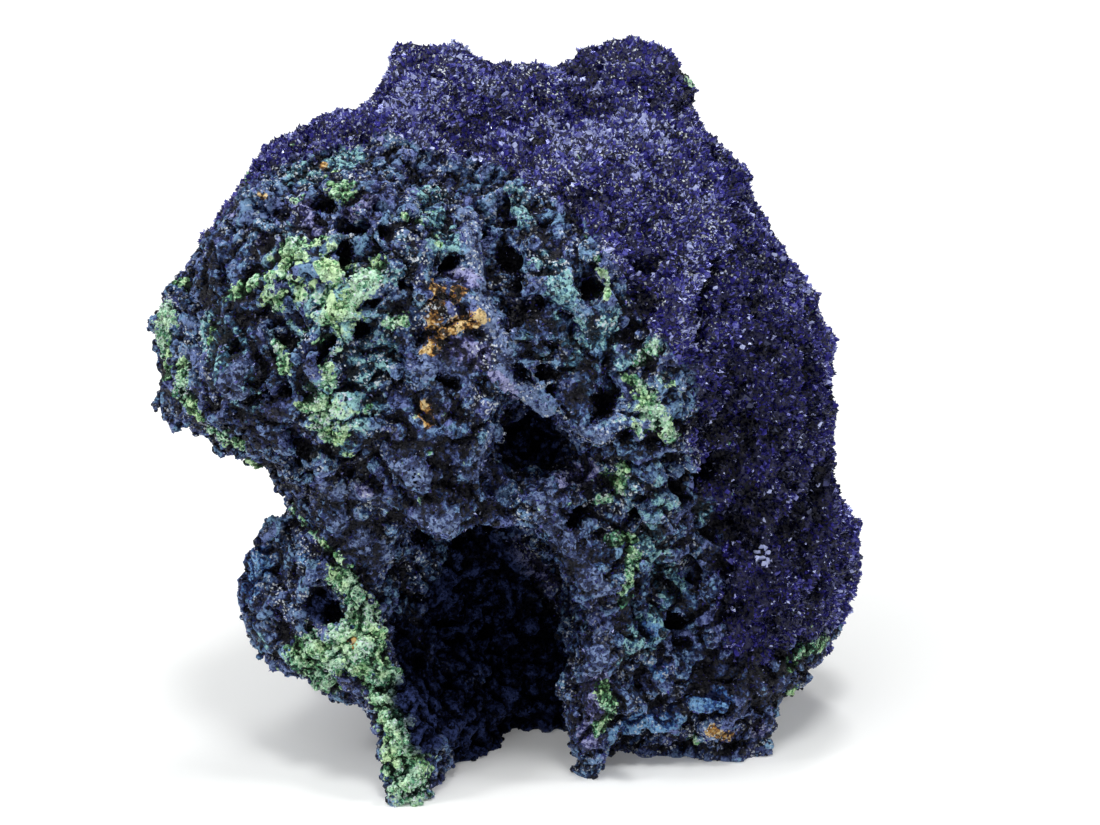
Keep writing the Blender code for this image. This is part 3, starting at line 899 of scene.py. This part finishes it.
def add_balls(name, crust, weights, chances, kind, dice):
    """Balls on the crust where the chances allow, coloured like it, with painted shade at their feet and
    painted light on their tops.
    """
    points, normals = surface(crust.data)
    limits, detail, most = kind
    radii = random_sizes(limits, len(points), dice)
    kept = scatter(points, chances, radii, BALL_GAP, dice)[:most]
    mesh = balls(name, points[kept], normals[kept], radii[kept], detail, dice)
    corners = len(mesh.vertices) // len(kept)
    own = one_mineral(weights, kept, corners, dice)
    away = places(mesh) - np.repeat(points[kept], corners, axis=0)
    rise = np.sum(away * np.repeat(normals[kept], corners, axis=0), axis=1) / np.repeat(radii[kept], corners)
    # painted shade: darker at a ball's foot, lighter at its top
    own["height"] = np.clip(BALL_PAINTED_SHADE + BALL_PAINTED_TOP_LIGHT * rise, 0.0, 1.0)
    dress(mesh, own)
    return add_object(name, mesh)


def add_grains(name, crust, weights, density, dice):
    """Granules on the crust, each with its own shade of the mineral under it, which carries the crust's
    painted shade.
    """
    centres, normals, near = spots_on(crust.data, density, MOST_GRAINS, dice)
    mesh = grains(name, centres, normals, random_sizes(GRAIN_SIZES, len(centres), dice), dice)
    corners = len(mesh.vertices) // len(centres)
    own = one_mineral(weights, near, corners, dice)
    shift = np.repeat(GRAIN_SHADES * dice.normal(size=len(centres)), corners)
    own["height"] = np.clip(own["height"] + shift, 0.0, 1.0)
    dress(mesh, own)
    return add_object(name, mesh)


def add_crystals(crust, weights, dice, name, shape, limits, density, most, tones):
    """Crystals on the crust, each with a tone of its own."""
    centres, normals, near = spots_on(crust.data, density, most, dice)
    mesh = shape(name, centres, normals, random_sizes(limits, len(centres), dice), dice)
    tone = tones(centres, near, weights, dice)
    corners = len(mesh.vertices) // len(centres)
    set_colours(mesh, "tone", np.repeat(tone, corners), np.repeat(dice.random(len(centres)), corners))
    mesh.shade_flat()
    return add_object(name, mesh)


def glint_tones(centres, near, weights, dice):
    """Tones of the tiny crystals on the front, from dark to pale wherever they are."""
    return np.clip(GLINT_TONE + GLINT_SPREAD * dice.normal(size=len(centres)), 0.0, 1.0)


def druse_tones(centres, near, weights, dice):
    """Most crystals are dark: painted shade darkens them in gaps and low places and painted light lightens
    them on peaks, their area's marked tone moves them, and a few are pale, partly as painted glints.
    """
    tone, height, gap = (weights[key][near] for key in ("tone", "height", "gap"))
    clump = layered(centres, CLUMP_TONES) + layered(centres * BAND_STRETCH, BAND_TONES)
    # Painted light and shade: tone from the marked areas, lighter on peaks, darker in low places and gaps
    area = AREA_CONTRAST * (tone - 0.5) + RELIEF_PAINTED_SHADE * (height - 0.5) - GAP_PAINTED_SHADE * gap
    tones = DRUSE_TONE + clump + area + DRUSE_SPREAD * dice.normal(size=len(centres))
    # A few crystals painted pale, partly as glints, where the area isn't darkened
    tones[(dice.random(len(centres)) < PALE_GLINT_SHARE) & (area > PALE_GLINT_AREA)] = 1.0
    return np.clip(tones, 0.0, 1.0)


def pale_crystals(crust, dice):
    """The small cluster of pale crystals that stands out on the right wall."""
    tree = tree_of(crust.data)
    found = [from_pixel(tree, u, v) for u, v in PALE_CRYSTALS]
    centres = np.array([spot for spot, _ in found]) / MM
    facing = np.array([normal for _, normal in found])
    mesh = wedges("pale_crystals", centres, facing, dice.uniform(*PALE_SIZES, len(centres)), dice)
    set_colours(mesh, "tone", np.ones(len(mesh.vertices)), np.full(len(mesh.vertices), PALE_GLOSS))
    mesh.shade_flat()
    return add_object("pale_crystals", mesh)


# Materials


def node(tree, kind, **settings):
    made = tree.nodes.new(kind)
    for name, value in settings.items():
        setattr(made, name, value)
    return made


def plug(tree, made, values):
    """Fills a node's inputs, given by name or number: each is linked to a socket or set to a value."""
    for key, value in values.items():
        if isinstance(value, bpy.types.NodeSocket):
            tree.links.new(value, made.inputs[key])
        else:
            made.inputs[key].default_value = value


def maths(tree, operation, *values):
    made = node(tree, "ShaderNodeMath", operation=operation)
    plug(tree, made, dict(enumerate(values)))
    return made.outputs[0]


def shifted(tree, value, gain, offset):
    """value * gain + offset"""
    return maths(tree, "MULTIPLY_ADD", value, gain, offset)


def varied(tree, value, gain):
    """How far a value from 0 to 1 is from its middle, times the gain."""
    return shifted(tree, value, gain, -0.5 * gain)


def total(tree, *values):
    return reduce(partial(maths, tree, "ADD"), values)


def product(tree, *values):
    return reduce(partial(maths, tree, "MULTIPLY"), values)


def mix(tree, factor, a, b):
    """Goes from colour a to colour b."""
    made = node(tree, "ShaderNodeMix", data_type="RGBA")
    plug(tree, made, {0: factor, 6: a, 7: b})
    return made.outputs[2]


def split(tree, colour):
    made = node(tree, "ShaderNodeSeparateColor")
    plug(tree, made, {0: colour})
    return made.outputs


def attribute(tree, name):
    return split(tree, node(tree, "ShaderNodeAttribute", attribute_name=name).outputs["Color"])


def coordinates(tree):
    return node(tree, "ShaderNodeTexCoord").outputs["Object"]


def noise_texture(tree, where, size, detail=2.0):
    """Noise from 0 to 1 with lumps of the given size in millimetres."""
    made = node(tree, "ShaderNodeTexNoise")
    plug(tree, made, {"Vector": where, "Scale": 1.0 / (size * MM), "Detail": detail})
    return made.outputs[0]


def cells_texture(tree, where, size):
    """A random colour for each small cell."""
    made = node(tree, "ShaderNodeTexVoronoi")
    plug(tree, made, {"Vector": where, "Scale": 1.0 / (size * MM)})
    return made.outputs["Color"]


def ramp(tree, factor, stops):
    made = node(tree, "ShaderNodeValToRGB")
    plug(tree, made, {0: factor})
    elements = made.color_ramp.elements
    while len(elements) < len(stops):
        elements.new(0.5)
    for element, (position, colour) in zip(elements, stops):
        element.position = position
        element.color = (*colour, 1.0)
    return made.outputs[0]


def span(tree, value, low, high):
    """Goes smoothly from 0 at low to 1 at high."""
    made = node(tree, "ShaderNodeMapRange", interpolation_type="SMOOTHSTEP")
    plug(tree, made, {"Value": value, "From Min": low, "From Max": high})
    return made.outputs[0]


def ragged_edge(tree, ragged, weight):
    """1 where the weight is above its edge, which a noise makes ragged."""
    return span(tree, maths(tree, "ADD", weight, varied(tree, ragged, EDGE_RAGGEDNESS)), *EDGE_SPAN)


def vector_maths(tree, operation, *values):
    made = node(tree, "ShaderNodeVectorMath", operation=operation)
    plug(tree, made, dict(enumerate(values)))
    return made.outputs[0]


def tilted(tree, cells, tilt):
    """The surface's normal, turned at random in each cell, as on the faces of small crystals."""
    turn = vector_maths(tree, "MULTIPLY_ADD", cells, (2 * tilt,) * 3, (-tilt,) * 3)
    normal = node(tree, "ShaderNodeNewGeometry").outputs["Normal"]
    return vector_maths(tree, "NORMALIZE", vector_maths(tree, "ADD", turn, normal))


def bump(tree, strength, height, texture, **more):
    """The surface's normal over a texture that rises to a height in millimetres."""
    made = node(tree, "ShaderNodeBump")
    plug(tree, made, {"Strength": strength, "Distance": height * MM, "Height": texture, **more})
    return made.outputs[0]


def new_material(name):
    material = bpy.data.materials.new(name)
    material.use_nodes = True
    tree = material.node_tree
    return material, tree, tree.nodes["Principled BSDF"]


def crust_colour(tree, where, weight, shade, lumps, specks):
    """Each mineral's shades, laid over one another as the crust's weights say, ragged at their edges, with
    painted glints and the cave's painted shade laid last.
    """
    edge = partial(ragged_edge, tree, noise_texture(tree, where, *RAGGED_NOISE))
    shades = partial(ramp, tree, shade)
    broad = noise_texture(tree, where, *BROAD_NOISE)
    weathered = total(
        tree,
        shifted(tree, weight["patina"], PATINA_SHARE, 0.0),
        varied(tree, broad, PATINA_BROAD),
        varied(tree, lumps[2], PATINA_LUMPS),
    )
    mint = total(tree, shifted(tree, weight["mint"], MINT_SHARE, 0.0), varied(tree, lumps[2], MINT_LUMPS))
    # Painted glints: pale specks in some cells, on the higher and lighter places
    pale = product(
        tree,
        maths(tree, "GREATER_THAN", specks[0], PAINTED_GLINT_EDGE),
        span(tree, weight["height"], *PAINTED_GLINT_HEIGHTS),
        span(tree, broad, *PAINTED_GLINT_PATCHES),
        span(tree, weight["tone"], *PAINTED_GLINT_TONES),
        PAINTED_GLINT_STRENGTH,
    )
    colour = mix(tree, lumps[1], shades(BLUE_STOPS), shades(SLATE_STOPS))
    for share, above in (
        (span(tree, weathered, *PATINA_SPAN), shades(TEAL_STOPS)),
        (edge(weight["teal"]), shades(TEAL_STOPS)),
        (edge(weight["ledge"]), shades(LEDGE_STOPS)),
        (edge(weight["violet"]), shades(VIOLET_STOPS)),
        (weight["druse"], shades(DRUSE_STOPS)),
        (edge(weight["bright"]), shades(BRIGHT_STOPS)),
        (
            edge(maths(tree, "MAXIMUM", weight["malachite"], mint)),
            mix(tree, span(tree, broad, *SEA_SPAN), shades(GREEN_STOPS), shades(SEA_STOPS)),
        ),
        (edge(weight["limonite"]), shades(RUST_STOPS)),
        (pale, PAINTED_GLINT_COLOUR),
        (weight["hollow"], shades(HOLLOW_SHADE_STOPS)),
    ):
        colour = mix(tree, share, colour, above)
    return colour


def crust_material():
    """Blue, green and rusty crust: the weights choose the mineral; its shade is painted from the relief, dark
    in hollows and light on peaks, and broken up by grit.
    """
    material, tree, shader = new_material("crust")
    where = coordinates(tree)
    weight = {}
    for name, keys in CHANNELS.items():
        weight.update(zip(keys, attribute(tree, name)))
    fine = noise_texture(tree, where, *FINE_NOISE)
    sizes = GRIT_SIZE, SPECK_SIZE, LUMP_SIZE
    grit, specks, lumps = (split(tree, cells_texture(tree, where, size)) for size in sizes)
    grit_shade = shifted(tree, grit[0], GRIT_SHADE, -GRIT_MIDDLE * GRIT_SHADE)
    rough = total(tree, varied(tree, fine, FINE_SHADE), grit_shade)
    tone = varied(tree, weight["tone"], TONE_SHADE)
    # The shade: painted shade and light from the relief, with grit, random lumps and the marked tone
    shade = total(tree, weight["height"], rough, tone, varied(tree, lumps[0], LUMP_SHADE))
    texture = total(tree, fine, shifted(tree, specks[2], SPECK_BUMP, 0.0))
    facets = tilted(tree, cells_texture(tree, where, FACET_SIZE), FACET_TILT)
    plug(tree, shader, {
        "Base Color": crust_colour(tree, where, weight, shade, lumps, specks),
        "Roughness": shifted(tree, specks[1], *CRUST_ROUGHNESS),
        "IOR": CRUST_IOR,
        "Specular IOR Level": shifted(tree, weight["hollow"], *CRUST_SHEEN),
        "Normal": bump(tree, CRUST_BUMP, CRUST_BUMP_HEIGHT, texture, Normal=facets),
    })
    return material


def crystal_material():
    """Dark, glossy azurite: each crystal's tone picks its blue, and a fine grain breaks it up."""
    material, tree, shader = new_material("azurite_crystal")
    where = coordinates(tree)
    tone, gloss = attribute(tree, "tone")[:2]
    fine = varied(tree, noise_texture(tree, where, CRYSTAL_NOISE), CRYSTAL_SHADE)
    texture = noise_texture(tree, where, CRYSTAL_BUMP_NOISE)
    plug(tree, shader, {
        "Base Color": ramp(tree, maths(tree, "ADD", tone, fine), CRYSTAL_STOPS),
        "Roughness": shifted(tree, gloss, *CRYSTAL_ROUGHNESS),
        "Specular Tint": CRYSTAL_GLOSS,
        "IOR": AZURITE_IOR,
        "Normal": bump(tree, CRYSTAL_BUMP, CRYSTAL_BUMP_HEIGHT, texture),
    })
    return material


# Studio


def soft_light(name, direction, width, strength):
    """A distant light, as wide in the sky as a softbox, so that the floor is evenly lit."""
    data = bpy.data.lights.new(name, "SUN")
    data.angle = math.radians(width)
    data.energy = strength
    add_object(name, data).rotation_euler = Vector(direction).to_track_quat("Z", "Y").to_euler()


def make_studio():
    """A white backdrop for the camera alone, a dim sky for the rest, and the lights."""
    bpy.context.scene.view_settings.view_transform = "Standard"
    world = bpy.data.worlds.new("studio")
    world.use_nodes = True
    bpy.context.scene.world = world
    tree = world.node_tree
    backdrop = tree.nodes["Background"]
    plug(tree, backdrop, {"Color": WHITE, "Strength": 1.0})
    ambient = node(tree, "ShaderNodeBackground")
    plug(tree, ambient, {"Color": AMBIENT_COLOUR, "Strength": AMBIENT})
    seen = node(tree, "ShaderNodeLightPath").outputs["Is Camera Ray"]
    choice = node(tree, "ShaderNodeMixShader")
    plug(tree, choice, {0: seen, 1: ambient.outputs[0], 2: backdrop.outputs[0]})
    plug(tree, tree.nodes["World Output"], {"Surface": choice.outputs[0]})
    for light in LIGHTS:
        soft_light(*light)


def make_floor():
    bm = bmesh.new()
    bmesh.ops.create_grid(bm, x_segments=1, y_segments=1, size=FLOOR_SIZE * MM)
    mesh = bpy.data.meshes.new("floor")
    bm.to_mesh(mesh)
    bm.free()
    floor = add_object("floor", mesh)
    material, tree, shader = new_material("floor")
    plug(tree, shader, {
        "Base Color": ramp(tree, noise_texture(tree, coordinates(tree), FLOOR_CLOUDS), FLOOR_STOPS),
        "Roughness": FLOOR_ROUGHNESS,
        "Emission Color": WHITE,
        "Emission Strength": FLOOR_GLOW,
    })
    mesh.materials.append(material)


def make_camera():
    data = bpy.data.cameras.new("camera")
    data.lens = LENS
    data.sensor_width = SENSOR
    data.clip_start = NEAREST_SEEN
    camera = add_object("camera", data)
    camera.location = CAMERA_POINT
    camera.rotation_euler = (-TOWARDS_CAMERA).to_track_quat("-Z", "Y").to_euler()
    bpy.context.scene.camera = camera


# The specimen


def keep_in_box(piece, box):
    """Holds the piece's points inside the CAD model's box."""
    low, high = (np.array(corner) / MM for corner in box)
    set_places(piece.data, np.clip(places(piece.data), low, high))


def make_rocky(crust, weights, dice):
    """Granules and balls, blue on the broken front and green wherever malachite is."""
    blue = (1.0 - weights["druse"]) * (weights["malachite"] < MALACHITE_EDGE)
    green = weights["malachite"] > MALACHITE_EDGE
    blue_chances, green_chances = blue * (weights["ledge"] < LEDGE_EDGE), GREEN_BALL_CHANCE * green
    return [
        add_grains("azurite_grains", crust, weights, GRAIN_DENSITY * blue, dice),
        add_grains("malachite_grains", crust, weights, GREEN_GRAIN_DENSITY * green, dice),
        add_balls("azurite_balls", crust, weights, blue_chances, BLUE_BALLS, dice),
        add_balls("malachite_balls", crust, weights, green_chances, GREEN_BALLS, dice),
    ]


DRUSE_CRYSTALS = (
    ("wedges_", wedges, WEDGE_SIZES, WEDGE_DENSITY, MOST_WEDGES),
    ("slivers_", slivers, SLIVER_SIZES, SLIVER_DENSITY, MOST_SLIVERS),
)


def make_sparkling(crust, weights, dice):
    """The druse in three parts, the glints of the broken front and the cluster of pale crystals."""
    x, y, _ = places(crust.data).T
    blue = weights["malachite"] < MALACHITE_EDGE
    druse = weights["druse"] * blue * (1 - (1 - BACK_DENSITY) * ease(y, *BACK_FROM))
    sides = {"left": druse * (x < DRUSE_CUTS[0]), "right": druse * (x > DRUSE_CUTS[1])}
    sides["middle"] = druse - sides["left"] - sides["right"]
    crystals = partial(add_crystals, crust, weights, dice)
    made = []
    for side, share in sides.items():
        for kind, shape, limits, density, most in DRUSE_CRYSTALS:
            made.append(crystals(kind + side, shape, limits, density * share, most, druse_tones))
    glints = (1.0 - weights["druse"]) * blue * (1 - weights["hollow"]) * GLINT_DENSITY
    made.append(crystals("glints", slivers, GLINT_SIZES, glints, MOST_SLIVERS, glint_tones))
    made.append(pale_crystals(crust, dice))
    return made


def make_specimen(source, dice):
    """The specimen's pieces, each with its material."""
    crust = make_crust(source, dice)
    weights = weigh_crust(crust)
    rocky = [crust, *make_rocky(crust, weights, dice)]
    sparkling = make_sparkling(crust, weights, dice)
    for pieces, material in ((rocky, crust_material()), (sparkling, crystal_material())):
        for piece in pieces:
            piece.data.materials.append(material)
    return rocky + sparkling


clear_scene()
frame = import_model()
cad_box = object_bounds()
specimen = make_specimen(frame["nodes"][NODE], np.random.default_rng(SEED))
for piece in specimen:
    keep_in_box(piece, cad_box)
    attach(piece, "root")
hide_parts(NODE)
make_floor()
make_studio()
make_camera()
